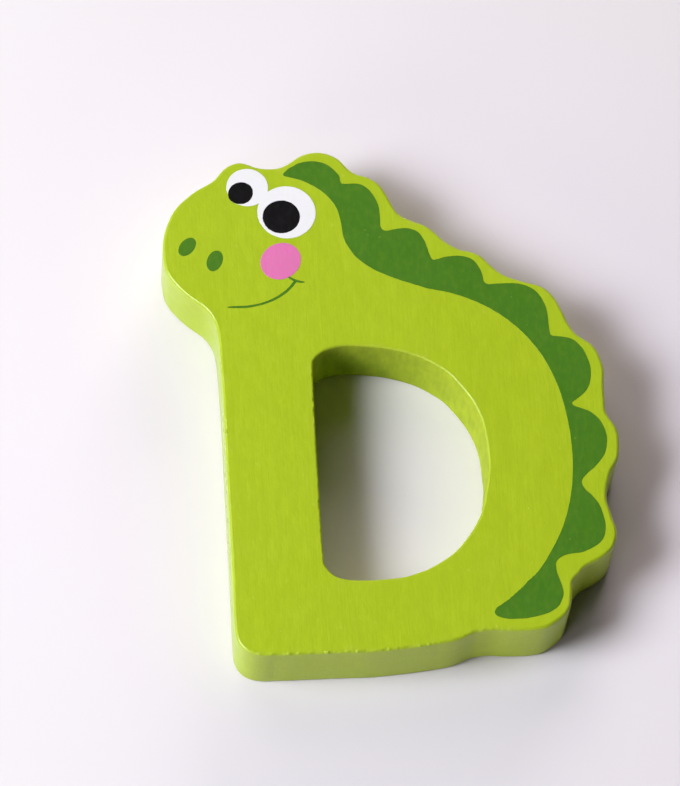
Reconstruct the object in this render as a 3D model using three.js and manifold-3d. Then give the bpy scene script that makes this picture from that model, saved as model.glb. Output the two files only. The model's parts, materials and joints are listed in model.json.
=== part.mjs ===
// Wooden nursery letter: a capital D sawn from one board, with a small animal's
// head at its top left corner and a row of soft bumps down its right side. The
// board has one coat of lime green lacquer, and ink films are printed on its face.
//
// Millimetres. The letter lies on its back: +X is to the reader's right, +Y is up
// the letter, +Z points out of the printed face. The origin is at the middle of
// the letter's length and width, on the plane that its back rests on.

import * as THREE from 'three';
import { mergeVertices } from 'three/addons/utils/BufferGeometryUtils.js';
import Module from 'manifold-3d';

const wasm = await Module();
wasm.setup();

// ---------------------------------------------------------------- dimensions
const BOARD = 12.5;          // board thickness, lacquer included
const EDGE_ROUND = 0.5;      // sanded rounding of both face edges
const EDGE_STEPS = 2;        // facets across that rounding
const INK = 0.125;           // ink film thickness
const PER_SPAN = 3;          // facets between two knots of the sawn outlines
const RIDGE_PER_SPAN = 2;    // facets between two knots of the ridge print

const LIME = 0xaac628;
const DEEP_GREEN = 0x4a8225;
const WHITE = 0xf6f6f5;
const BLACK = 0x1d1c1e;
const PINK = 0xe87db9;

// Sawn outside outline, anticlockwise from under the nose: chin, stem, base,
// tail, the bumps up the right side, the crown, the brow and the snout.
const OUTLINE = [
  [-38.21, 24.94], [-35.98, 21.46], [-33.98, 19.47], [-32.13, 17.96], [-31.04, 16.62], [-30.04, 14.24],
  [-29.52, 4.52], [-29.47, -5.16], [-29.48, -14.93], [-29.45, -24.72], [-29.48, -34.4], [-29.52, -40.7],
  [-29.3, -44.23], [-28.25, -46.13], [-26.61, -47.15], [-24.43, -47.52], [-22.94, -47.47], [-20.95, -47.53],
  [-11.21, -47.46], [-6.82, -47.49], [-1.48, -47.14], [3.75, -46.6], [8.08, -45.87], [11.22, -44.59],
  [12.28, -44.41], [14.43, -44.26], [17.48, -44.51], [21.87, -44.43], [23.58, -44.07], [26.62, -42.06],
  [27.29, -41.22], [27.78, -40.3], [28, -39.36], [28.29, -37.3], [28.36, -36.19], [28.74, -35.43],
  [29.8, -34.4], [30.57, -33.46], [31.69, -32.71], [33.49, -31.84], [35.27, -30.52], [36.17, -29.3],
  [36.78, -26.86], [36.27, -24.43], [35.88, -22.58], [35.55, -21.22], [35.68, -18.98], [36.16, -17.32],
  [36.65, -15.8], [37.33, -14.62], [37.85, -13.78], [38.29, -12.5], [38.45, -8.04], [36.73, -4.36],
  [36.71, -2.17], [36.82, 1.22], [37.02, 3.91], [36.26, 7.01], [35.37, 8.59], [33.74, 9.9],
  [32.79, 10.66], [31.57, 12.61], [30.64, 15.23], [29.25, 18.27], [27.92, 19.76], [26.62, 20.45],
  [24.88, 20.99], [20.74, 22.68], [18.35, 24.98], [17.17, 26.38], [15.31, 27.34], [13.84, 27.67],
  [12.9, 28.11], [11.07, 29.39], [8.11, 32.38], [5.22, 33.78], [3.53, 34.76], [2.8, 35.49],
  [2.04, 37.17], [0.65, 40.18], [-0.29, 41.45], [-2.13, 42.65], [-3.75, 43.15], [-4.58, 43.67],
  [-5.84, 45.01], [-6.47, 45.94], [-8.09, 47.1], [-10.33, 47.75], [-13.05, 47.35], [-17.26, 44.91],
  [-20.84, 44.88], [-24.27, 46.07], [-26.73, 45.3], [-29.34, 42.51], [-32.56, 40.57], [-34.22, 39.22],
  [-35.88, 37.6], [-37.35, 35.06], [-38.61, 30.63],
];

// Sawn D-shaped hole, anticlockwise from the top of its straight left side.
const HOLE = [
  [-13.48, 6.98], [-13.67, 5.95], [-13.71, 3.97], [-13.82, -1.93], [-13.87, -10.92], [-13.87, -20.02],
  [-13.84, -29.01], [-13.72, -31.13], [-12.75, -32.79], [-11.31, -33.78], [-8.53, -34.33], [-2.35, -34.25],
  [0.42, -33.9], [2.23, -33.33], [4.1, -32.64], [8.49, -29.91], [11.63, -26.33], [13.74, -22.62],
  [14.77, -18.91], [15.62, -13.94], [15.57, -10.28], [15.38, -7.31], [14.92, -5.01], [13.53, -1.45],
  [10.72, 2.73], [9.48, 4.12], [5.68, 6.74], [3.43, 7.76], [-0.3, 8.89], [-5.35, 9.6],
  [-7.45, 9.72], [-9.64, 9.47], [-11.8, 8.64],
];

// Printed ridge, anticlockwise from the crown: the smooth inner edge down to the
// tail, then the scallops back up the outer edge.
const RIDGE = [
  [-12.36, 45.84], [-14.29, 45.42], [-15.04, 44.94], [-15.82, 44.51], [-16.82, 43.43], [-16.79, 43.18],
  [-15.78, 42.8], [-13.44, 42.01], [-10.09, 39.75], [-7.93, 36.84], [-7.21, 33.95], [-6.75, 30.2],
  [-5.55, 27.71], [-4.95, 26.81], [-2.68, 24.74], [-0.57, 23.48], [2.11, 22.2], [5.45, 20.93],
  [6.91, 20.35], [11.8, 19.07], [17.77, 16.14], [22.72, 11.91], [26.48, 6.47], [28.8, 0.35],
  [29.94, -6.2], [30.18, -12.78], [29.43, -19.42], [27.48, -25.79], [24.33, -31.53], [22.58, -33.92],
  [21.32, -35.16], [20.77, -35.55], [20, -36.44], [16.77, -39.17], [15.43, -40], [14.96, -40.49],
  [14.65, -41.1], [15.01, -41.76], [16.87, -42.41], [17.77, -42.43], [20.05, -42.38], [23.91, -41.5],
  [25.77, -40.22], [25.97, -39.88], [26.6, -38.45], [26.6, -37.16], [25.76, -33.59], [25.96, -32.13],
  [27.02, -31.24], [28.44, -30.83], [30.71, -30.54], [33.99, -28.58], [34.84, -26.09], [34.1, -21.91],
  [32.81, -19.92], [31.94, -18.98], [31.43, -17.42], [32.62, -15.87], [33.84, -14.85], [35.6, -12.72],
  [36.11, -11.54], [36.43, -8.98], [35.78, -6.5], [35.09, -5.42], [33.68, -4.18], [32.88, -3.79],
  [31.08, -2.99], [30.94, -2.56], [31.18, -2.25], [32.09, -1.65], [33.88, 0.18], [34.68, 3.64],
  [34.05, 6.63], [33.38, 8.07], [32, 9.57], [30.51, 10.11], [29.23, 10.3], [28.24, 10.56],
  [28.04, 11.74], [27.73, 16.1], [26.12, 19.22], [23.54, 20.61], [19.67, 20.82], [17.79, 20.79],
  [17.21, 21.4], [17.14, 22.19], [16.63, 24], [15.51, 25.63], [13.69, 26.38], [10.92, 26.32],
  [9.48, 25.94], [8.71, 25.79], [8.46, 25.91], [8.02, 27], [7.32, 29.58], [6.31, 31.28],
  [4.55, 32.11], [1.87, 31.95], [1.19, 31.78], [0.21, 31.88], [-0.24, 32.71], [-0.23, 33.9],
  [-0.22, 35.5], [-0.58, 37.56], [-2.02, 40.11], [-3.39, 41.05], [-4.57, 41.21], [-6.07, 41.21],
  [-6.56, 41.28], [-6.82, 41.77], [-6.97, 42.83], [-8.74, 44.92], [-10.63, 45.77],
];

// Printed ovals: centre, half lengths and turn of the long axis in degrees.
const EYE_LEFT = { at: [-23.29, 40.98], a: 3.70, b: 3.67, turn: 87 };
const EYE_RIGHT = { at: [-16.62, 35.89], a: 5.14, b: 5.13, turn: -78 };
const PUPIL_LEFT = { at: [-24.53, 39.88], a: 2.26, b: 2.11, turn: 37 };
const PUPIL_RIGHT = { at: [-17.59, 35.01], a: 3.30, b: 3.21, turn: 17 };
const CHEEK = { at: [-18.14, 26.34], a: 3.77, b: 3.35, turn: 45.5 };
const NOSTRIL_LEFT = { at: [-34.38, 29.64], a: 2.00, b: 1.27, turn: 53 };
const NOSTRIL_RIGHT = { at: [-29.69, 26.76], a: 2.09, b: 1.34, turn: 69 };

// Smile line and its cross tick: points along the middle, each with its half width.
const SMILE = [
  [-27.8, 17.69, 0.07], [-27.1, 17.68, 0.13], [-26.2, 17.67, 0.17], [-25.2, 17.65, 0.18], [-24.2, 17.7, 0.175],
  [-23.2, 17.86, 0.165], [-22.2, 18.05, 0.16], [-21.2, 18.37, 0.165], [-20.2, 18.75, 0.18], [-19.2, 19.23, 0.185],
  [-18.3, 19.82, 0.195], [-17.4, 20.5, 0.205], [-16.7, 21.2, 0.21], [-16.15, 21.9, 0.205], [-15.8, 22.36, 0.2],
];
const TICK = [
  [-16.5, 22.84, 0.17], [-16.15, 22.6, 0.185], [-15.8, 22.38, 0.2], [-15.4, 22.28, 0.18], [-14.9, 22.22, 0.14],
  [-14.35, 22.15, 0.09],
];

// ---------------------------------------------------------------- shape helpers
// Closed smooth curve through knots, as a polygon.
function smoothLoop(knots, perSpan) {
  const curve = new THREE.CatmullRomCurve3(knots.map(([x, y]) => new THREE.Vector3(x, y, 0)), true, 'centripetal');
  const n = knots.length * perSpan;
  return Array.from({ length: n }, (_, i) => {
    const v = curve.getPoint(i / n);
    return new THREE.Vector2(v.x, v.y);
  });
}

function oval({ at, a, b, turn }, sides) {
  const curve = new THREE.EllipseCurve(at[0], at[1], a, b, 0, 2 * Math.PI, false, THREE.MathUtils.degToRad(turn));
  return curve.getPoints(sides).slice(0, sides);
}

// Outline of a brush stroke with round ends.
function stroke(points, capSides = 4) {
  const left = [];
  const right = [];
  const dir = (i) => {
    const p = points[Math.max(i - 1, 0)];
    const q = points[Math.min(i + 1, points.length - 1)];
    return new THREE.Vector2(q[0] - p[0], q[1] - p[1]).normalize();
  };
  points.forEach(([x, y, w], i) => {
    const d = dir(i);
    left.push(new THREE.Vector2(x - d.y * w, y + d.x * w));
    right.push(new THREE.Vector2(x + d.y * w, y - d.x * w));
  });
  const cap = ([x, y, w], d, out) => {
    for (let k = 1; k < capSides; k++) {
      const t = (Math.PI * k) / capSides;
      const along = Math.sin(t) * w * out;
      const across = -Math.cos(t) * w * out;
      list.push(new THREE.Vector2(x + d.x * along - d.y * across, y + d.y * along + d.x * across));
    }
  };
  const list = [...right];
  cap(points[points.length - 1], dir(points.length - 1), 1);
  list.push(...left.reverse());
  cap(points[0], dir(0), -1);
  return list;
}

function weld(geometry) {
  geometry.deleteAttribute('normal');
  geometry.deleteAttribute('uv');
  return mergeVertices(geometry);
}

// Flat ink film with its underside at height z.
function film(points, z) {
  const g = new THREE.ExtrudeGeometry(new THREE.Shape(points), { depth: INK, bevelEnabled: false });
  g.translate(0, 0, z);
  return weld(g);
}

// Several overlapping films joined into one.
function joined(geometries) {
  const solids = geometries.map((g) => new wasm.Manifold(new wasm.Mesh({
    numProp: 3,
    vertProperties: Float32Array.from(g.attributes.position.array),
    triVerts: Uint32Array.from(g.index.array),
  })));
  const mesh = solids.reduce((a, b) => a.add(b)).getMesh();
  const g = new THREE.BufferGeometry();
  g.setAttribute('position', new THREE.BufferAttribute(Float32Array.from(mesh.vertProperties), 3));
  g.setIndex(new THREE.BufferAttribute(Uint32Array.from(mesh.triVerts), 1));
  return g;
}

const letter = new THREE.Group();
letter.name = 'wooden_letter';

function addPiece(name, geometry, color, roughness) {
  const piece = new THREE.Mesh(geometry, new THREE.MeshStandardMaterial({ color, roughness, metalness: 0 }));
  piece.name = name;
  letter.add(piece);
}

// ---------------------------------------------------------------- the board
const board = new THREE.Shape(smoothLoop(OUTLINE, PER_SPAN));
board.holes.push(new THREE.Path(smoothLoop(HOLE, PER_SPAN)));
const body = new THREE.ExtrudeGeometry(board, {
  depth: BOARD - 2 * EDGE_ROUND,
  bevelEnabled: true,
  bevelThickness: EDGE_ROUND,
  bevelSize: EDGE_ROUND,
  bevelOffset: -EDGE_ROUND,
  bevelSegments: EDGE_STEPS,
});
body.translate(0, 0, EDGE_ROUND);
addPiece('letter_body', weld(body), LIME, 0.4);

// ---------------------------------------------------------------- the printing
const FACE = BOARD;            // first ink layer lies on the board's face
const OVER = BOARD + INK;      // second layer lies on the eye whites

addPiece('ridge_print', film(smoothLoop(RIDGE, RIDGE_PER_SPAN), FACE), DEEP_GREEN, 0.45);
// The white is also laid under the whole of the left pupil, which meets its edge.
addPiece('eye_whites', joined([
  film(oval(EYE_LEFT, 48), FACE),
  film(oval(EYE_RIGHT, 60), FACE),
  film(oval(PUPIL_LEFT, 40), FACE),
]), WHITE, 0.4);
addPiece('pupil_left', film(oval(PUPIL_LEFT, 40), OVER), BLACK, 0.35);
addPiece('pupil_right', film(oval(PUPIL_RIGHT, 48), OVER), BLACK, 0.35);
addPiece('cheek_spot', film(oval(CHEEK, 52), FACE), PINK, 0.45);
addPiece('nostril_left', film(oval(NOSTRIL_LEFT, 36), FACE), DEEP_GREEN, 0.45);
addPiece('nostril_right', film(oval(NOSTRIL_RIGHT, 36), FACE), DEEP_GREEN, 0.45);
addPiece('smile_line', joined([film(stroke(SMILE), FACE), film(stroke(TICK), FACE)]), DEEP_GREEN, 0.45);

export default letter;
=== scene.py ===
"""Looks of a wooden nursery letter: a lacquered board sawn to a capital D with an
animal's head, a printed face and a printed ridge. Metres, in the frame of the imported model."""

import json
import math

import bpy
import numpy as np
from mathutils import Matrix, Vector, noise
from mathutils.geometry import delaunay_2d_cdt

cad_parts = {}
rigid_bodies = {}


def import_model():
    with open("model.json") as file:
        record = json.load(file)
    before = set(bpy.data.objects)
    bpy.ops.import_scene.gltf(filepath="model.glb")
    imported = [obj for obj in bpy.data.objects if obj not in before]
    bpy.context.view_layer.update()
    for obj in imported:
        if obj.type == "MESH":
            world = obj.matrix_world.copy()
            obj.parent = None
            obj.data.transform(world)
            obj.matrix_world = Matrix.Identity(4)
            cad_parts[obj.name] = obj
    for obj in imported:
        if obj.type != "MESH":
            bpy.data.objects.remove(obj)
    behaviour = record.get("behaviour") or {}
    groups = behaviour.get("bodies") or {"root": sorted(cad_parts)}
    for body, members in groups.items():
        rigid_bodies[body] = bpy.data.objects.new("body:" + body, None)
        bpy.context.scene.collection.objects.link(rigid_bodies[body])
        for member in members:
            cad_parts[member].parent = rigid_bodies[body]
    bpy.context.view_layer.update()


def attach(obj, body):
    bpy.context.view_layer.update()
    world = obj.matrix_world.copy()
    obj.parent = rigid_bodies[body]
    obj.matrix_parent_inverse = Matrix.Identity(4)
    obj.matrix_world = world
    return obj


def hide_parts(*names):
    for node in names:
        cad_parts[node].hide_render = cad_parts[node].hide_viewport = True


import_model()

# ------------------------------------------------------------------ sizes, in millimetres
BOARD = 12.5         # board thickness
ROUND = 0.5          # sanded rounding of the edges
INK = 0.034          # ink film
MM = 0.001

OUTLINE = [
    (-38.21, 24.94), (-35.98, 21.46), (-33.98, 19.47), (-32.13, 17.96), (-31.04, 16.62), (-30.04, 14.24),
    (-29.52, 4.52), (-29.47, -5.16), (-29.48, -14.93), (-29.45, -24.72), (-29.48, -34.4), (-29.52, -40.7),
    (-29.3, -44.23), (-28.25, -46.13), (-26.61, -47.15), (-24.43, -47.52), (-22.94, -47.47), (-20.95, -47.53),
    (-11.21, -47.46), (-6.82, -47.49), (-1.48, -47.14), (3.75, -46.6), (8.08, -45.87), (11.22, -44.59),
    (12.28, -44.41), (14.43, -44.26), (17.48, -44.51), (21.87, -44.43), (23.58, -44.07), (26.62, -42.06),
    (27.29, -41.22), (27.78, -40.3), (28, -39.36), (28.29, -37.3), (28.36, -36.19), (28.74, -35.43),
    (29.8, -34.4), (30.57, -33.46), (31.69, -32.71), (33.49, -31.84), (35.27, -30.52), (36.17, -29.3),
    (36.78, -26.86), (36.27, -24.43), (35.88, -22.58), (35.55, -21.22), (35.68, -18.98), (36.16, -17.32),
    (36.65, -15.8), (37.33, -14.62), (37.85, -13.78), (38.29, -12.5), (38.45, -8.04), (36.73, -4.36),
    (36.71, -2.17), (36.82, 1.22), (37.02, 3.91), (36.26, 7.01), (35.37, 8.59), (33.74, 9.9),
    (32.79, 10.66), (31.57, 12.61), (30.64, 15.23), (29.25, 18.27), (27.92, 19.76), (26.62, 20.45),
    (24.88, 20.99), (20.74, 22.68), (18.35, 24.98), (17.17, 26.38), (15.31, 27.34), (13.84, 27.67),
    (12.9, 28.11), (11.07, 29.39), (8.11, 32.38), (5.22, 33.78), (3.53, 34.76), (2.8, 35.49),
    (2.04, 37.17), (0.65, 40.18), (-0.29, 41.45), (-2.13, 42.65), (-3.75, 43.15), (-4.58, 43.67),
    (-5.84, 45.01), (-6.47, 45.94), (-8.09, 47.1), (-10.33, 47.75), (-13.05, 47.35), (-17.26, 44.91),
    (-20.84, 44.88), (-24.27, 46.07), (-26.73, 45.3), (-29.34, 42.51), (-32.56, 40.57), (-34.22, 39.22),
    (-35.88, 37.6), (-37.35, 35.06), (-38.61, 30.63),
]
HOLE = [
    (-13.48, 6.98), (-13.67, 5.95), (-13.71, 3.97), (-13.82, -1.93), (-13.87, -10.92), (-13.87, -20.02),
    (-13.84, -29.01), (-13.72, -31.13), (-12.75, -32.79), (-11.31, -33.78), (-8.53, -34.33), (-2.35, -34.25),
    (0.42, -33.9), (2.23, -33.33), (4.1, -32.64), (8.49, -29.91), (11.63, -26.33), (13.74, -22.62),
    (14.77, -18.91), (15.62, -13.94), (15.57, -10.28), (15.38, -7.31), (14.92, -5.01), (13.53, -1.45),
    (10.72, 2.73), (9.48, 4.12), (5.68, 6.74), (3.43, 7.76), (-0.3, 8.89), (-5.35, 9.6),
    (-7.45, 9.72), (-9.64, 9.47), (-11.8, 8.64),
]
RIDGE = [
    (-12.36, 45.84), (-14.29, 45.42), (-15.04, 44.94), (-15.82, 44.51), (-16.82, 43.43), (-16.79, 43.18),
    (-15.78, 42.8), (-13.44, 42.01), (-10.09, 39.75), (-7.93, 36.84), (-7.21, 33.95), (-6.75, 30.2),
    (-5.55, 27.71), (-4.95, 26.81), (-2.68, 24.74), (-0.57, 23.48), (2.11, 22.2), (5.45, 20.93),
    (6.91, 20.35), (11.8, 19.07), (17.77, 16.14), (22.72, 11.91), (26.48, 6.47), (28.8, 0.35),
    (29.94, -6.2), (30.18, -12.78), (29.43, -19.42), (27.48, -25.79), (24.33, -31.53), (22.58, -33.92),
    (21.32, -35.16), (20.77, -35.55), (20, -36.44), (16.77, -39.17), (15.43, -40), (14.96, -40.49),
    (14.65, -41.1), (15.01, -41.76), (16.87, -42.41), (17.77, -42.43), (20.05, -42.38), (23.91, -41.5),
    (25.77, -40.22), (25.97, -39.88), (26.6, -38.45), (26.6, -37.16), (25.76, -33.59), (25.96, -32.13),
    (27.02, -31.24), (28.44, -30.83), (30.71, -30.54), (33.99, -28.58), (34.84, -26.09), (34.1, -21.91),
    (32.81, -19.92), (31.94, -18.98), (31.43, -17.42), (32.62, -15.87), (33.84, -14.85), (35.6, -12.72),
    (36.11, -11.54), (36.43, -8.98), (35.78, -6.5), (35.09, -5.42), (33.68, -4.18), (32.88, -3.79),
    (31.08, -2.99), (30.94, -2.56), (31.18, -2.25), (32.09, -1.65), (33.88, 0.18), (34.68, 3.64),
    (34.05, 6.63), (33.38, 8.07), (32, 9.57), (30.51, 10.11), (29.23, 10.3), (28.24, 10.56),
    (28.04, 11.74), (27.73, 16.1), (26.12, 19.22), (23.54, 20.61), (19.67, 20.82), (17.79, 20.79),
    (17.21, 21.4), (17.14, 22.19), (16.63, 24), (15.51, 25.63), (13.69, 26.38), (10.92, 26.32),
    (9.48, 25.94), (8.71, 25.79), (8.46, 25.91), (8.02, 27), (7.32, 29.58), (6.31, 31.28),
    (4.55, 32.11), (1.87, 31.95), (1.19, 31.78), (0.21, 31.88), (-0.24, 32.71), (-0.23, 33.9),
    (-0.22, 35.5), (-0.58, 37.56), (-2.02, 40.11), (-3.39, 41.05), (-4.57, 41.21), (-6.07, 41.21),
    (-6.56, 41.28), (-6.82, 41.77), (-6.97, 42.83), (-8.74, 44.92), (-10.63, 45.77),
]
# ovals: centre x, centre y, half length, half width, turn in degrees
EYE_LEFT = (-23.29, 40.98, 3.70, 3.67, 87)
EYE_RIGHT = (-16.62, 35.89, 5.14, 5.13, -78)
PUPIL_LEFT = (-24.53, 39.88, 2.26, 2.11, 37)
PUPIL_RIGHT = (-17.59, 35.01, 3.30, 3.21, 17)
CHEEK = (-18.14, 26.34, 3.77, 3.35, 45.5)
NOSTRIL_LEFT = (-34.38, 29.64, 2.00, 1.27, 53)
NOSTRIL_RIGHT = (-29.69, 26.76, 2.09, 1.34, 69)
# strokes: x, y, half width
SMILE = [
    (-27.8, 17.69, 0.11), (-27.1, 17.68, 0.17), (-26.2, 17.67, 0.21), (-25.2, 17.65, 0.22), (-24.2, 17.7, 0.215),
    (-23.2, 17.86, 0.205), (-22.2, 18.05, 0.2), (-21.2, 18.37, 0.205), (-20.2, 18.75, 0.22), (-19.2, 19.23, 0.225),
    (-18.3, 19.82, 0.235), (-17.4, 20.5, 0.245), (-16.7, 21.2, 0.25), (-16.15, 21.9, 0.245), (-15.8, 22.36, 0.24),
]
TICK = [
    (-16.82, 23.12, 0.18), (-16.45, 22.86, 0.205), (-16.1, 22.61, 0.23), (-15.75, 22.42, 0.235), (-15.4, 22.31, 0.215),
    (-14.9, 22.22, 0.185), (-14.3, 22.14, 0.135),
]


# ------------------------------------------------------------------ plane curves
def resample(c, step):
    """Closed polyline with even spacing."""
    d = np.vstack([c, c[:1]])
    s = np.concatenate([[0], np.cumsum(np.hypot(*np.diff(d, axis=0).T))])
    n = max(12, int(round(s[-1] / step)))
    u = np.arange(n) * s[-1] / n
    return np.stack([np.interp(u, s, d[:, 0]), np.interp(u, s, d[:, 1])], 1)


def soften(c, sigma, step):
    """Closed evenly spaced polyline, smoothed over a length."""
    f = np.fft.fftfreq(len(c), step)
    k = np.exp(-2 * (math.pi * sigma * f) ** 2)[:, None]
    return np.real(np.fft.ifft(np.fft.fft(c, axis=0) * k, axis=0))


def closed_curve(knots, step, sigma=0.0):
    """Centripetal Catmull-Rom loop through the knots."""
    k = np.array(knots, float)
    n, out = len(k), []
    for i in range(n):
        p0, p1, p2, p3 = k[i - 1], k[i], k[(i + 1) % n], k[(i + 2) % n]
        t1 = np.linalg.norm(p1 - p0) ** 0.5
        t2 = t1 + np.linalg.norm(p2 - p1) ** 0.5
        t3 = t2 + np.linalg.norm(p3 - p2) ** 0.5
        t = np.linspace(t1, t2, 41)[:-1, None]
        a1 = (t1 - t) / t1 * p0 + t / t1 * p1
        a2 = (t2 - t) / (t2 - t1) * p1 + (t - t1) / (t2 - t1) * p2
        a3 = (t3 - t) / (t3 - t2) * p2 + (t - t2) / (t3 - t2) * p3
        b1 = (t2 - t) / t2 * a1 + t / t2 * a2
        b2 = (t3 - t) / (t3 - t1) * a2 + (t - t1) / (t3 - t1) * a3
        out.append((t2 - t) / (t2 - t1) * b1 + (t - t1) / (t2 - t1) * b2)
    c = resample(np.vstack(out), step)
    return soften(c, sigma, step) if sigma else c


def oval(o, step):
    x, y, a, b, turn = o
    t = np.linspace(0, 2 * math.pi, 721)[:-1]
    r = math.radians(turn)
    u, v = a * np.cos(t), b * np.sin(t)
    return resample(np.stack([x + u * math.cos(r) - v * math.sin(r), y + u * math.sin(r) + v * math.cos(r)], 1), step)


def stroke(points):
    """Outline of a pen line with round ends."""
    p = np.array(points, float)
    s = np.concatenate([[0], np.cumsum(np.hypot(*np.diff(p[:, :2], axis=0).T))])
    u = np.linspace(0, s[-1], int(s[-1] / 0.08) + 2)
    c = np.stack([np.interp(u, s, p[:, k]) for k in range(3)], 1)
    for _ in range(40):  # takes the corners off the line between its points
        c[1:-1] = 0.25 * c[:-2] + 0.5 * c[1:-1] + 0.25 * c[2:]
    d = np.gradient(c[:, :2], axis=0)
    d /= np.hypot(*d.T)[:, None]
    q = np.stack([-d[:, 1], d[:, 0]], 1)
    left, right = c[:, :2] + q * c[:, 2:], c[:, :2] - q * c[:, 2:]
    a = np.linspace(0, math.pi, 9)[1:-1, None]
    tip = c[-1, :2] + c[-1, 2] * (-np.cos(a) * q[-1] + np.sin(a) * d[-1])
    tail = c[0, :2] + c[0, 2] * (np.cos(a) * q[0] - np.sin(a) * d[0])
    return np.vstack([right, tip, left[::-1], tail])


def inside(points, loop):
    """Even-odd test of points against one closed polyline."""
    x, y = points[:, 0], points[:, 1]
    hit = np.zeros(len(points), bool)
    a, b = loop, np.roll(loop, -1, 0)
    for (x0, y0), (x1, y1) in zip(a, b):
        if y0 == y1:
            continue
        cross = (y0 > y) != (y1 > y)
        hit ^= cross & (x < (x1 - x0) * (y - y0) / (y1 - y0) + x0)
    return hit


def triangulate(loops, extra=None):
    """Constrained triangulation of loops and extra points: points and triangles of the whole hull."""
    pts, edges, start = [], [], 0
    for loop in loops:
        n = len(loop)
        pts += [Vector((float(x), float(y))) for x, y in loop]
        edges += [(start + i, start + (i + 1) % n) for i in range(n)]
        start += n
    if extra is not None:
        pts += [Vector((float(x), float(y))) for x, y in extra]
    v, _, f, origin, _, _ = delaunay_2d_cdt(pts, edges, [], 0, 1e-7)
    return np.array([tuple(p) for p in v]), np.array(f), origin


def joined(loops, step, sigma):
    """Outer loop of the union of overlapping loops."""
    v, f, _ = triangulate(loops)
    mid = v[f].mean(1)
    keep = np.zeros(len(f), bool)
    for loop in loops:
        keep |= inside(mid, loop)
    ahead = {}
    rim = {(a, b) for t in f[keep] for a, b in ((t[0], t[1]), (t[1], t[2]), (t[2], t[0]))}
    for a, b in rim:
        if (b, a) not in rim:
            ahead[a] = b
    first = min(ahead)
    loop, at = [first], ahead[first]
    while at != first:
        loop.append(at)
        at = ahead[at]
    c = resample(v[loop], step)
    return soften(c, sigma, step)


def outward(c, sign=1.0):
    """Normals on the right-hand side of a closed polyline (outside of an anticlockwise one)."""
    t = np.roll(c, -1, 0) - np.roll(c, 1, 0)
    t /= np.hypot(*t.T)[:, None]
    return sign * np.stack([t[:, 1], -t[:, 0]], 1)


def wander(points, scale, seed):
    """Smooth noise from -1 to 1 at plane points, over a length in millimetres."""
    return np.array([noise.noise(Vector((x / scale, y / scale, seed))) for x, y in points])


def lattice(loops, pitch, clear):
    """Points of a triangular lattice inside the first loop and outside the others, clear of them all."""
    lo, hi = loops[0].min(0), loops[0].max(0)
    rows = np.arange(lo[1], hi[1], pitch * 0.866)
    p = np.vstack([np.stack([np.arange(lo[0] + (i % 2) * pitch / 2, hi[0], pitch), np.full(len(np.arange(lo[0] + (i % 2) * pitch / 2, hi[0], pitch)), y)], 1) for i, y in enumerate(rows)])
    ok = inside(p, loops[0])
    for loop in loops[1:]:
        ok &= ~inside(p, loop)
    p = p[ok]
    rim = np.vstack(loops)
    near = np.array([np.min(np.sum((rim - q) ** 2, 1)) for q in p]) if len(p) else np.zeros(0)
    return p[near > clear * clear]


# ------------------------------------------------------------------ meshes
def make_object(name, verts, faces, normals, fields=None):
    mesh = bpy.data.meshes.new(name)
    mesh.from_pydata([tuple(v) for v in verts * MM], [], [tuple(int(i) for i in f) for f in faces])
    mesh.validate()
    mesh.shade_smooth()
    mesh.normals_split_custom_set_from_vertices([tuple(n) for n in normals])
    for key, values in (fields or {}).items():
        a = mesh.attributes.new(key, "FLOAT", "POINT")
        a.data.foreach_set("value", np.asarray(values, np.float32))
    obj = bpy.data.objects.new(name, mesh)
    bpy.context.scene.collection.objects.link(obj)
    return obj


def wall_normals(grid):
    """Normals of a ring grid (rings, around, 3), rings going up and the loop anticlockwise seen from outside the material."""
    du = np.roll(grid, -1, 1) - np.roll(grid, 1, 1)
    dv = np.gradient(grid, axis=0)
    n = np.cross(du, dv)
    return n / np.maximum(np.linalg.norm(n, axis=2, keepdims=True), 1e-12)


def ring_faces(rings, around, start, flip):
    i = np.arange(around)
    j = (i + 1) % around
    faces = []
    for r in range(rings - 1):
        a, b = start + r * around, start + (r + 1) * around
        q = np.stack([a + i, a + j, b + j, b + i], 1)
        faces.append(q[:, ::-1] if flip else q)
    return np.vstack(faces)


def cap(loops, starts, extra, z, up, verts, normals, faces):
    """Flat face between loops whose vertices exist already, with new inner points."""
    v, f, origin = triangulate(loops, extra)
    mid = v[f].mean(1)
    keep = inside(mid, loops[0])
    for loop in loops[1:]:
        keep &= ~inside(mid, loop)
    index, at, known = {}, 0, []
    for loop, s in zip(loops, starts):
        known += [s + i for i in range(len(loop))]
    base = sum(len(x) for x in verts)
    new = []
    place = np.zeros(len(v), int)
    for k in range(len(v)):
        o = origin[k][0]
        if o < len(known):
            place[k] = known[o]
        else:
            place[k] = base + len(new)
            new.append((v[k][0], v[k][1], z))
    if new:
        verts.append(np.array(new))
        normals.append(np.tile([0, 0, 1.0 if up else -1.0], (len(new), 1)))
    t = place[f[keep]]
    a, b, c = v[f[keep]][:, 0], v[f[keep]][:, 1], v[f[keep]][:, 2]
    area = (b[:, 0] - a[:, 0]) * (c[:, 1] - a[:, 1]) - (b[:, 1] - a[:, 1]) * (c[:, 0] - a[:, 0])
    t[area < 0] = t[area < 0][:, ::-1]
    faces.append(t if up else t[:, ::-1])
    return len(new)


def board_loop():
    """The outline, with closer points where the front edge carries lacquer beads."""
    c = closed_curve(OUTLINE, 0.1, 0.32)
    x, y = c.T
    close = ((y < -43.9) & (x > -27) & (x < 24)) | ((x < -28.6) & (np.abs(y + 5.3) < 2.4))
    return c[close | (np.arange(len(c)) % 3 == 0)]


def hole_loop():
    """The hole, with closer points up the stem, where its front edge is nicked."""
    c = closed_curve(HOLE, 0.1, 0.3)
    return c[(c[:, 0] < -13.2) | (np.arange(len(c)) % 3 == 0)]


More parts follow.
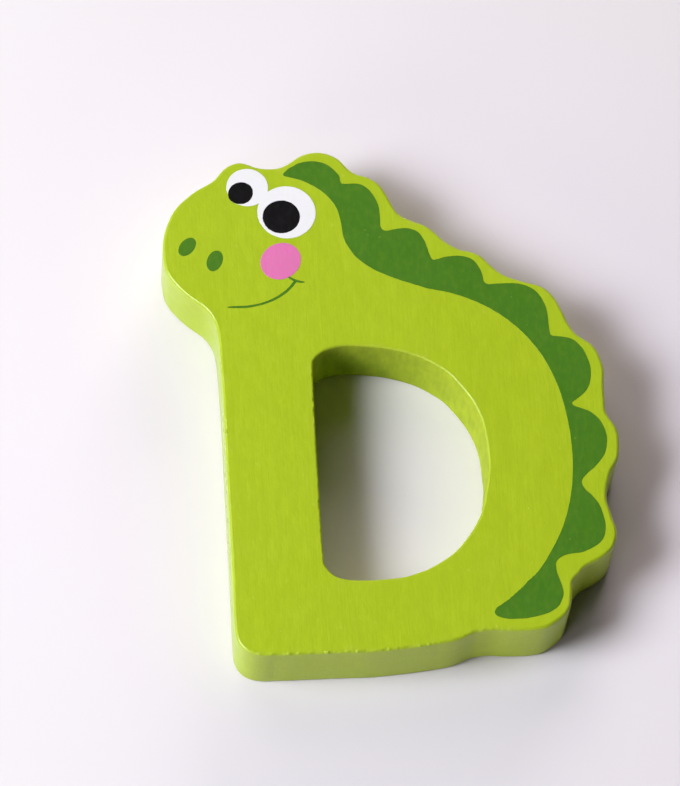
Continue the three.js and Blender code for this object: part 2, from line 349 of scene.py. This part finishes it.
def nicks(loop, seed):
    """How far the hole's front edge is nicked or burred up the stem, in millimetres."""
    x, y = loop.T
    rough = wander(loop, 0.9, seed) + 0.5 * wander(loop, 0.4, seed + 1)
    side = (x < -13.2) * np.exp(-((y + 12) / 19.5) ** 8)
    return side * (0.16 * np.maximum(rough - 0.1, 0) - 0.20 * np.maximum(-rough - 0.15, 0))


def beads(loop, seed):
    """How far beads of lacquer stand out of the front edge, in millimetres: a row along the base, one nib on the stem."""
    x, y = loop.T
    base = (y < -43.9) * np.exp(-((x + 3.5) / 22.5) ** 8) * (0.75 + 0.25 * np.tanh((2 - x) / 4))
    rough = wander(loop, 1.05, seed) + 0.5 * wander(loop, 0.48, seed + 1)
    row = base * (0.7 + 0.9 * wander(loop, 4.0, seed + 2)) * (0.29 * np.maximum(rough, 0) - 0.20 * np.maximum(-rough, 0))
    nib = (x < -28) * (0.20 * np.exp(-((y + 6.1) / 0.32) ** 2) - 0.10 * np.exp(-((y + 5.2) / 0.4) ** 2) - 0.12 * np.exp(-((y + 4.2) / 0.3) ** 2))
    return row + nib


def build_board():
    verts, normals, faces, edge, sawn_and_shade, nib = [], [], [], [], [], []
    front, back, front_at, back_at = [], [], [], []
    count = 0
    for loop, sign, seed in ((board_loop(), 1.0, 3.1), (hole_loop(), -1.0, 8.7)):
        n2 = outward(loop, sign)
        around = len(loop)
        # the rounding was sanded by hand, so it is never quite even, and it is fuller down the right side
        r_front = ROUND * (1.0 + 0.3 * np.maximum(n2[:, 0], 0) if sign > 0 else 0.8) * (1 + 0.10 * wander(loop, 9.0, seed) + 0.06 * wander(loop, 2.1, seed + 1))
        r_back = ROUND * (1 + 0.10 * wander(loop, 9.0, seed + 5) + 0.05 * wander(loop, 2.1, seed + 6))
        bead = (beads if sign > 0 else nicks)(loop, seed + 2)
        rings, grow, lump = [], [], []
        arc = np.linspace(0, math.pi / 2, 9)
        for a in arc[:-1]:  # back rounding, from the back face out to the wall
            rings.append((r_back * (1 - math.sin(a)), r_back * (1 - math.cos(a))))
            grow.append(math.cos(a))
            lump.append((0.0, 0.0))
        rows = np.linspace(0, 1, 21)
        for k, h in enumerate(rows):
            rings.append((np.zeros(around), r_back + (BOARD - r_back - r_front) * h))
            grow.append(0.0)
            lump.append((0.0, 0.0))
        for a in arc[1:]:  # front rounding, from the wall in to the face
            rings.append((r_front * (1 - math.cos(a)), BOARD - r_front * (1 - math.sin(a))))
            grow.append(math.sin(a))
            lump.append((math.sin(2 * a) * math.cos(a), math.sin(2 * a) * math.sin(a)))
        grid = np.zeros((len(rings), around, 3))
        for r, (inset, z) in enumerate(rings):
            zz = np.broadcast_to(z, (around,))
            h = zz / BOARD
            # slow waves that sawing and sanding leave in the wall
            swell = 0.030 * np.array([noise.noise(Vector((x / 5.0, y / 5.0, zv / 9.0 + seed))) for (x, y), zv in zip(loop, zz)])
            swell += (0.012 if sign > 0 else 0.040) * np.array([noise.noise(Vector((x / 1.7, y / 1.7, zv / 2.6 + seed + 20))) for (x, y), zv in zip(loop, zz)])
            fade = np.clip(np.minimum(zz, BOARD - zz) / 1.5, 0, 1)
            grid[r, :, :2] = loop + n2 * (swell * fade - inset + bead * lump[r][0])[:, None]
            grid[r, :, 2] = zz + bead * lump[r][1]
        n3 = wall_normals(grid) * sign
        n3[0] = (0, 0, -1)
        n3[-1] = (0, 0, 1)
        verts.append(grid.reshape(-1, 3))
        normals.append(n3.reshape(-1, 3))
        edge.append(np.repeat(np.array(grow), around))
        # saw marks on the walls of the hole; the rest follows which way a wall faces and is partly painted shade: the
        # hole's top wall, facing forward, gets up to a quarter more, which darkens its colour in the lacquer; outside,
        # every wall gets a little saw colour and mottle, the forward-facing base more, and the base is a little duller
        # and the stem's left side glossier
        dullness_and_shade_by_facing = 1 + 0.25 * np.maximum(-n2[:, 1], 0) ** 4 if sign < 0 else 0.09 + 0.15 * np.maximum(-n2[:, 1], 0) - 0.14 * np.maximum(-n2[:, 0], 0)
        sawn_and_shade.append(((1 - np.array(grow))[:, None] * dullness_and_shade_by_facing).reshape(-1))
        nib.append((np.hypot(*np.array(lump).T)[:, None] * np.minimum(np.abs(bead) / 0.1, 1)).reshape(-1))
        faces.append(ring_faces(len(rings), around, count, sign < 0))
        back.append(grid[0, :, :2]); back_at.append(count)
        front.append(grid[-1, :, :2]); front_at.append(count + (len(rings) - 1) * around)
        count += len(rings) * around
    tri = []
    for loops, at, z, up, pitch in ((front, front_at, BOARD, True, 1.1), (back, back_at, 0.0, False, 1.6)):
        more = cap(loops, at, lattice(loops, pitch, 0.5), z, up, verts, normals, tri)
        edge.append(np.zeros(more))
        sawn_and_shade.append(np.zeros(more))
        nib.append(np.zeros(more))
    quads = [q for f in faces for q in f] + [t for f in tri for t in f]
    return make_object("lacquered_letter", np.vstack(verts), quads, np.vstack(normals),
                       {"edge": np.concatenate(edge), "sawn_and_shade": np.concatenate(sawn_and_shade), "nib": np.concatenate(nib)})


def build_film(name, loop, z0, thick=INK, rag=0.02, seed=0.0, rough_at=None):
    """Printed ink film: a slightly ragged outline, a thin rolled rim and a flat top."""
    n2 = outward(loop)
    amount = np.full(len(loop), rag)
    if rough_at is not None:
        for x, y, reach, more in rough_at:
            amount += more * np.exp(-np.sum((loop - (x, y)) ** 2, 1) / reach ** 2)
    loop = loop + n2 * (amount * (0.6 * wander(loop, 0.5, seed) + 0.6 * wander(loop, 1.3, seed + 4)))[:, None]
    n2 = outward(loop)
    around = len(loop)
    arc = np.linspace(0, math.pi / 2, 4)
    rings = [(0.0, z0)] + [(0.9 * thick * (1 - math.cos(a)), z0 + thick * (0.3 + 0.7 * math.sin(a))) for a in arc]
    grid = np.zeros((len(rings), around, 3))
    for r, (inset, z) in enumerate(rings):
        grid[r, :, :2] = loop - n2 * inset
        grid[r, :, 2] = z
    n3 = wall_normals(grid)
    n3[-1] = (0, 0, 1)
    verts, normals, faces, tri = [grid.reshape(-1, 3)], [n3.reshape(-1, 3)], [ring_faces(len(rings), around, 0, False)], []
    top = grid[-1, :, :2]
    cap([top], [(len(rings) - 1) * around], lattice([top], 0.8, 0.35), z0 + thick, True, verts, normals, tri)
    cap([grid[0, :, :2]], [0], None, z0, False, verts, normals, tri)
    polys = [q for f in faces for q in f] + [t for f in tri for t in f]
    return make_object(name, np.vstack(verts), polys, np.vstack(normals))


# ------------------------------------------------------------------ materials
class Graph:
    """A material's node graph, written as nested calls."""

    def __init__(self, name):
        self.material = bpy.data.materials.new(name)
        self.material.use_nodes = True
        self.tree = self.material.node_tree
        self.tree.nodes.clear()
        self.coords = self.node("ShaderNodeTexCoord").outputs["Object"]

    def node(self, kind, sockets=None, **props):
        n = self.tree.nodes.new(kind)
        for k, v in props.items():
            setattr(n, k, v)
        for k, v in (sockets or {}).items():
            if isinstance(v, bpy.types.NodeSocket):
                self.tree.links.new(v, n.inputs[k])
            else:
                n.inputs[k].default_value = v
        return n

    def stretch(self, x, y, z, shift=(0, 0, 0)):
        return self.node("ShaderNodeMapping", {"Vector": self.coords, "Scale": (x, y, z), "Location": shift}).outputs[0]

    def noise(self, vector, scale, detail=2.0, rough=0.5, distortion=0.0):
        return self.node("ShaderNodeTexNoise", {"Vector": vector, "Scale": scale, "Detail": detail, "Roughness": rough, "Distortion": distortion}).outputs[0]

    def dots(self, vector, scale):
        return self.node("ShaderNodeTexVoronoi", {"Vector": vector, "Scale": scale, "Randomness": 1.0}, feature="F1").outputs["Distance"]

    def ramp(self, value, low, high, to_low=0.0, to_high=1.0):
        return self.node("ShaderNodeMapRange", {0: value, 1: low, 2: high, 3: to_low, 4: to_high}, interpolation_type="SMOOTHSTEP").outputs[0]

    def line(self, value, low, high, to_low=0.0, to_high=1.0):
        return self.node("ShaderNodeMapRange", {0: value, 1: low, 2: high, 3: to_low, 4: to_high}).outputs[0]

    def math(self, op, a, b=0.0, c=0.0):
        return self.node("ShaderNodeMath", {0: a, 1: b, 2: c}, operation=op).outputs[0]

    def mix(self, fac, a, b, how="MIX"):
        n = self.node("ShaderNodeMix", data_type="RGBA", blend_type=how)
        for key, v in ((0, fac), (6, a), (7, b)):
            if isinstance(v, bpy.types.NodeSocket):
                self.tree.links.new(v, n.inputs[key])
            else:
                n.inputs[key].default_value = v
        return n.outputs[2]

    def spots(self, places):
        """Soft dots on the printed face: x, y and radius in millimetres."""
        most = 0.0
        for x, y, r in places:
            far = self.node("ShaderNodeVectorMath", {0: self.coords, 1: (x * MM, y * MM, BOARD * MM)}, operation="DISTANCE").outputs["Value"]
            dot = self.ramp(far, 0.35 * r * MM, r * MM, 1.0, 0.0)
            most = self.math("MAXIMUM", most, dot)
        return most

    def bump(self, height, depth, normal=None):
        n = self.node("ShaderNodeBump", {"Height": height, "Strength": 1.0, "Distance": depth})
        if normal is not None:
            self.tree.links.new(normal, n.inputs["Normal"])
        return n.outputs[0]

    def finish(self, colour, roughness, normal, constants=None):
        sockets = {"Base Color": colour, "Roughness": roughness, "Normal": normal}
        sockets.update(constants or {})
        shader = self.node("ShaderNodeBsdfPrincipled", sockets)
        out = self.node("ShaderNodeOutputMaterial")
        self.tree.links.new(shader.outputs[0], out.inputs[0])
        return self.material


def grain(g):
    """Wood grain that shows through the finish: long fine streaks up the letter, with slow drift."""
    fine = g.noise(g.stretch(1.0, 0.05, 0.35), 2600, 3, 0.6, 0.3)
    broad = g.noise(g.stretch(1.0, 0.07, 0.4, (0.3, 0.1, 0.2)), 700, 2, 0.5, 0.4)
    return g.math("ADD", g.math("MULTIPLY", fine, 0.6), g.math("MULTIPLY", broad, 0.4))


def lacquer():
    g = Graph("lime_lacquer_on_wood")
    wood = grain(g)
    cloud = g.noise(g.coords, 45, 3, 0.55)
    peel = g.noise(g.stretch(1.0, 0.55, 1.0), 1000, 3, 0.6)
    blotch = g.noise(g.stretch(1.0, 0.5, 1.0, (0.07, 0.02, 0.05)), 520, 2, 0.55)
    dust = g.spots([(21.94, -22.12, 0.22), (14.86, -43.64, 0.28), (-21.76, -43.23, 0.2), (-18.3, -38.9, 0.16), (3.2, 14.6, 0.15)])
    speck = g.math("MAXIMUM", g.math("MULTIPLY", g.ramp(g.dots(g.coords, 190), 0.04, 0.08, 1.0, 0.0), 0.35), dust)
    rim = g.node("ShaderNodeAttribute", attribute_name="edge").outputs["Fac"]
    saw_and_shade_amount = g.node("ShaderNodeAttribute", attribute_name="sawn_and_shade").outputs["Fac"]
    nib = g.node("ShaderNodeAttribute", attribute_name="nib").outputs["Fac"]
    colour = g.mix(g.line(cloud, 0.35, 0.65), (0.336, 0.457, 0.0120, 1), (0.351, 0.475, 0.0135, 1))
    colour = g.mix(g.line(wood, 0.42, 0.58, 0.0, 0.6), colour, (0.317, 0.436, 0.0105, 1))
    colour = g.mix(g.line(peel, 0.40, 0.62, 0.0, 0.6), colour, (0.360, 0.487, 0.0155, 1))
    colour = g.mix(g.line(blotch, 0.40, 0.62, 0.0, 0.6), colour, (0.319, 0.438, 0.0108, 1))
    saw = g.noise(g.stretch(1.0, 1.0, 0.18), 1500, 3, 0.6)
    patch = g.noise(g.stretch(1.0, 1.0, 0.6, (0.02, 0.05, 0.01)), 420, 3, 0.6)
    # saw colour and mottle on sawn walls, and painted shade: the mottle is a quarter stronger on the hole's
    # forward-facing top wall
    saw_mottle_and_shade = g.math("MULTIPLY", saw_and_shade_amount, g.math("ADD", g.line(saw, 0.38, 0.66, 0.0, 0.28), g.line(patch, 0.38, 0.64, 0.0, 0.38)))
    colour = g.mix(saw_and_shade_amount, colour, (0.390, 0.486, 0.0110, 1))
    colour = g.mix(saw_mottle_and_shade, colour, (0.236, 0.324, 0.0080, 1))
    # painted shade: the hole's forward-facing top wall, where the value passes 1, is darkened further
    colour = g.mix(g.line(saw_and_shade_amount, 1.0, 1.25, 0.0, 0.25), colour, (0.215, 0.360, 0.0040, 1))
    thin = g.math("MULTIPLY", rim, g.ramp(g.noise(g.coords, 380, 3, 0.6), 0.5, 0.72))
    colour = g.mix(g.math("MULTIPLY", thin, 0.3), colour, (0.40, 0.46, 0.04, 1))
    colour = g.mix(g.math("MULTIPLY", speck, 0.6), colour, (0.47, 0.55, 0.06, 1))
    rough = g.math("ADD", g.line(g.noise(g.coords, 120, 3, 0.6), 0.3, 0.7, 0.28, 0.36), g.math("MULTIPLY", thin, 0.08))
    rough = g.math("ADD", rough, g.math("ADD", g.math("MULTIPLY", saw_and_shade_amount, 0.6), g.math("MULTIPLY", nib, 0.5)))
    height = g.math("ADD", g.math("MULTIPLY", wood, 0.65), g.math("MULTIPLY", peel, 0.65))
    height = g.math("ADD", height, g.math("ADD", g.math("MULTIPLY", speck, 0.35), g.math("MULTIPLY", blotch, 0.5)))
    height = g.math("ADD", height, g.math("MULTIPLY", saw_and_shade_amount, g.math("ADD", g.math("MULTIPLY", saw, 0.6), g.math("MULTIPLY", patch, 0.5))))
    return g.finish(colour, rough, g.bump(height, 0.000065), {"IOR": 1.5, "Specular IOR Level": 0.5})


def ink(name, colour_a, colour_b, rough_low, rough_high, through, pinholes=0.4, dust=()):
    g = Graph(name)
    wood = grain(g)
    cloud = g.noise(g.coords, 90, 3, 0.6)
    mottle = g.noise(g.stretch(1.0, 0.6, 1.0), 1100, 3, 0.6)
    mesh_mark = g.noise(g.coords, 3200, 1, 0.5)
    pin = g.math("MULTIPLY", g.ramp(g.dots(g.stretch(1, 1, 1, (0.013, 0.027, 0)), 250), 0.035, 0.07, 1.0, 0.0), pinholes)
    if dust:
        pin = g.math("MAXIMUM", pin, g.math("MULTIPLY", g.spots(dust), 0.45))
    colour = g.mix(g.line(cloud, 0.35, 0.65), colour_a, colour_b)
    colour = g.mix(g.line(wood, 0.42, 0.60, 0.0, 0.6), colour, colour_a)
    colour = g.mix(g.line(mottle, 0.45, 0.68, 0.0, 0.12), colour, through)
    colour = g.mix(pin, colour, through)
    rough = g.line(g.noise(g.coords, 200, 3, 0.6), 0.3, 0.7, rough_low, rough_high)
    height = g.math("ADD", g.math("ADD", g.math("MULTIPLY", wood, 0.5), g.math("MULTIPLY", mottle, 0.5)), g.math("MULTIPLY", mesh_mark, 0.2))
    height = g.math("ADD", height, g.math("MULTIPLY", pin, -0.5))
    return g.finish(colour, rough, g.bump(height, 0.000050), {"IOR": 1.5, "Specular IOR Level": 0.5})


def floor_finish():
    """Pale matt floor under the letter that runs out into the plain backdrop."""
    g = Graph("pale_floor")
    cloud = g.noise(g.coords, 9, 3, 0.5)
    tooth = g.noise(g.coords, 900, 2, 0.5)
    away = g.node("ShaderNodeVectorMath", {0: g.coords}, operation="LENGTH").outputs["Value"]
    # painted shadow tint: the floor is lavender near the letter and neutral from 0.11 m out, giving the letter's
    # shadows and the hole a purple cast and offsetting the green light bounced off the letter
    colour = g.mix(g.ramp(away, 0.045, 0.11), (0.703, 0.664, 0.723, 1), (0.676, 0.664, 0.680, 1))
    colour = g.mix(g.line(cloud, 0.3, 0.7, 0.0, 0.5), colour, (0.696, 0.684, 0.702, 1))
    matt = g.node("ShaderNodeBsdfPrincipled", {"Base Color": colour, "Roughness": g.line(tooth, 0.3, 0.7, 0.55, 0.65),
                                               "Normal": g.bump(tooth, 0.00001), "IOR": 1.45, "Specular IOR Level": 0.3})
    glow = g.node("ShaderNodeEmission", {"Color": BACKDROP, "Strength": 1.0})
    both = g.node("ShaderNodeMixShader", {0: g.ramp(away, 0.11, 0.36), 1: matt.outputs[0], 2: glow.outputs[0]})
    out = g.node("ShaderNodeOutputMaterial")
    g.tree.links.new(both.outputs[0], out.inputs[0])
    return g.material


BACKDROP = (0.86, 0.853, 0.862, 1)
LIME = lacquer()
GREEN = ink("deep_green_ink", (0.050, 0.162, 0.0084, 1), (0.058, 0.176, 0.0092, 1), 0.35, 0.43, (0.18, 0.33, 0.018, 1), 0.3,
            [(-2.99, 31.99, 0.22), (21.8, 18.1, 0.2), (24.2, 12.59, 0.18), (28.53, -28.12, 0.22)])
WHITE = ink("white_ink", (0.705, 0.718, 0.742, 1), (0.725, 0.738, 0.762, 1), 0.36, 0.44, (0.62, 0.66, 0.44, 1), 0.2)
BLACK = ink("black_ink", (0.0054, 0.0050, 0.0056, 1), (0.0072, 0.0067, 0.0074, 1), 0.26, 0.33, (0.03, 0.03, 0.03, 1), 0.3)
PINK = ink("pink_ink", (0.610, 0.144, 0.366, 1), (0.640, 0.157, 0.386, 1), 0.38, 0.46, (0.52, 0.27, 0.27, 1), 0.3)

# ------------------------------------------------------------------ the letter
pieces = [
    (build_board(), "letter_body", "lime_lacquered_wood", LIME),
    (build_film("printed_ridge", closed_curve(RIDGE, 0.15, 0.05), BOARD, rag=0.035, seed=1.0,
                rough_at=[(19.5, -36.8, 3.2, 0.16), (16.0, -40.0, 1.2, 0.08), (6.0, 20.7, 1.4, 0.05)]), "ridge_print", "deep_green_ink", GREEN),
    (build_film("printed_eye_whites", joined([oval(EYE_LEFT, 0.1), oval(EYE_RIGHT, 0.1), oval(PUPIL_LEFT, 0.1)], 0.12, 0.10), BOARD, rag=0.02, seed=2.0), "eye_whites", "white_ink", WHITE),
    (build_film("printed_pupil_left", oval(PUPIL_LEFT, 0.1), BOARD + INK, rag=0.06, seed=3.0), "pupil_left", "black_ink", BLACK),
    (build_film("printed_pupil_right", oval(PUPIL_RIGHT, 0.1), BOARD + INK, rag=0.06, seed=4.0), "pupil_right", "black_ink", BLACK),
    (build_film("printed_cheek", oval(CHEEK, 0.1), BOARD, rag=0.03, seed=5.0), "cheek_spot", "pink_ink", PINK),
    (build_film("printed_nostril_left", oval(NOSTRIL_LEFT, 0.1), BOARD, rag=0.03, seed=6.0), "nostril_left", "deep_green_ink", GREEN),
    (build_film("printed_nostril_right", oval(NOSTRIL_RIGHT, 0.1), BOARD, rag=0.03, seed=7.0), "nostril_right", "deep_green_ink", GREEN),
    (build_film("printed_smile", joined([stroke(SMILE), stroke(TICK)], 0.09, 0.04), BOARD, thick=1.25 * INK, rag=0.012, seed=8.0), "smile_line", "deep_green_ink", GREEN),
]
for piece, node, slot, material in pieces:
    piece.data.materials.append(material)
    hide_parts(node)
    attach(piece, "root")

# ------------------------------------------------------------------ stage, light and camera
scene = bpy.context.scene
for old in [o for o in scene.objects if o.type in ("LIGHT", "CAMERA") or (o.type == "MESH" and o.name == "Cube")]:
    bpy.data.objects.remove(old)

floor_mesh = bpy.data.meshes.new("floor")
R = 6.0
floor_mesh.from_pydata([(-R, -R, 0), (R, -R, 0), (R, R, 0), (-R, R, 0)], [], [(0, 1, 2, 3)])
floor = bpy.data.objects.new("floor", floor_mesh)
scene.collection.objects.link(floor)
floor.data.materials.append(floor_finish())


def area_light(name, azimuth, elevation, distance, size, power, colour=(1, 1, 1)):
    """Round soft light aimed at the letter. Azimuth turns from +X towards +Y."""
    a, e = math.radians(azimuth), math.radians(elevation)
    d = Vector((math.cos(a) * math.cos(e), math.sin(a) * math.cos(e), math.sin(e)))
    light = bpy.data.lights.new(name, "AREA")
    light.shape = "DISK"
    light.size = size
    light.energy = power
    light.color = colour
    o = bpy.data.objects.new(name, light)
    o.location = d * distance + Vector((0, 0, 0.006))
    o.rotation_euler = d.to_track_quat("Z", "Y").to_euler()
    o.visible_camera = False
    scene.collection.objects.link(o)
    return o


area_light("key_high", 185, 47, 0.95, 0.474, 4.6, (0.98, 1.0, 1.08))
area_light("key_low", 194, 40, 0.95, 0.474, 7.7, (0.98, 1.0, 1.0))
area_light("low_left", 228, 14, 2.0, 0.85, 11.0, (1.16, 1.0, 1.1))
for name, azimuth, elevation, distance, size, power in (("back_low", 74, 18, 1.0, 0.50, 5.3), ("back_high", 110, 40, 1.2, 0.87, 3.2)):
    back = area_light(name, azimuth, elevation, distance, size, power, (1.16, 1.0, 0.98))
    back.visible_glossy = False
area_light("right", 335, 4, 1.5, 0.2, 0.7, (1.08, 1.0, 1.1))

world = bpy.data.worlds.new("studio")
scene.world = world
world.use_nodes = True
sky = world.node_tree
sky.nodes.clear()
fill = sky.nodes.new("ShaderNodeBackground")       # faint fill that lights the object
fill.inputs["Color"].default_value = (1.0, 0.92, 0.90, 1)
fill.inputs["Strength"].default_value = 0.012
wall = sky.nodes.new("ShaderNodeBackground")       # plain pale backdrop behind the floor
wall.inputs["Color"].default_value = BACKDROP
path = sky.nodes.new("ShaderNodeLightPath")
both = sky.nodes.new("ShaderNodeMixShader")
out = sky.nodes.new("ShaderNodeOutputWorld")
sky.links.new(path.outputs["Is Camera Ray"], both.inputs[0])
sky.links.new(fill.outputs[0], both.inputs[1])
sky.links.new(wall.outputs[0], both.inputs[2])
sky.links.new(both.outputs[0], out.inputs[0])

scene.view_settings.view_transform = "Standard"
scene.view_settings.look = "None"

camera = bpy.data.cameras.new("camera")
camera.sensor_fit = "AUTO"
camera.sensor_width = 36.0
camera.lens = 212.977
camera.clip_start, camera.clip_end = 0.01, 50.0
eye = bpy.data.objects.new("camera", camera)
eye.matrix_world = Matrix((
    (0.99682925, 0.02983988, -0.07376337, -0.06852233),
    (-0.05796314, 0.9074113, -0.4162271, -0.33396915),
    (0.05451355, 0.41918291, 0.90626374, 0.74100618),
    (0, 0, 0, 1),
))
scene.collection.objects.link(eye)
scene.camera = eye
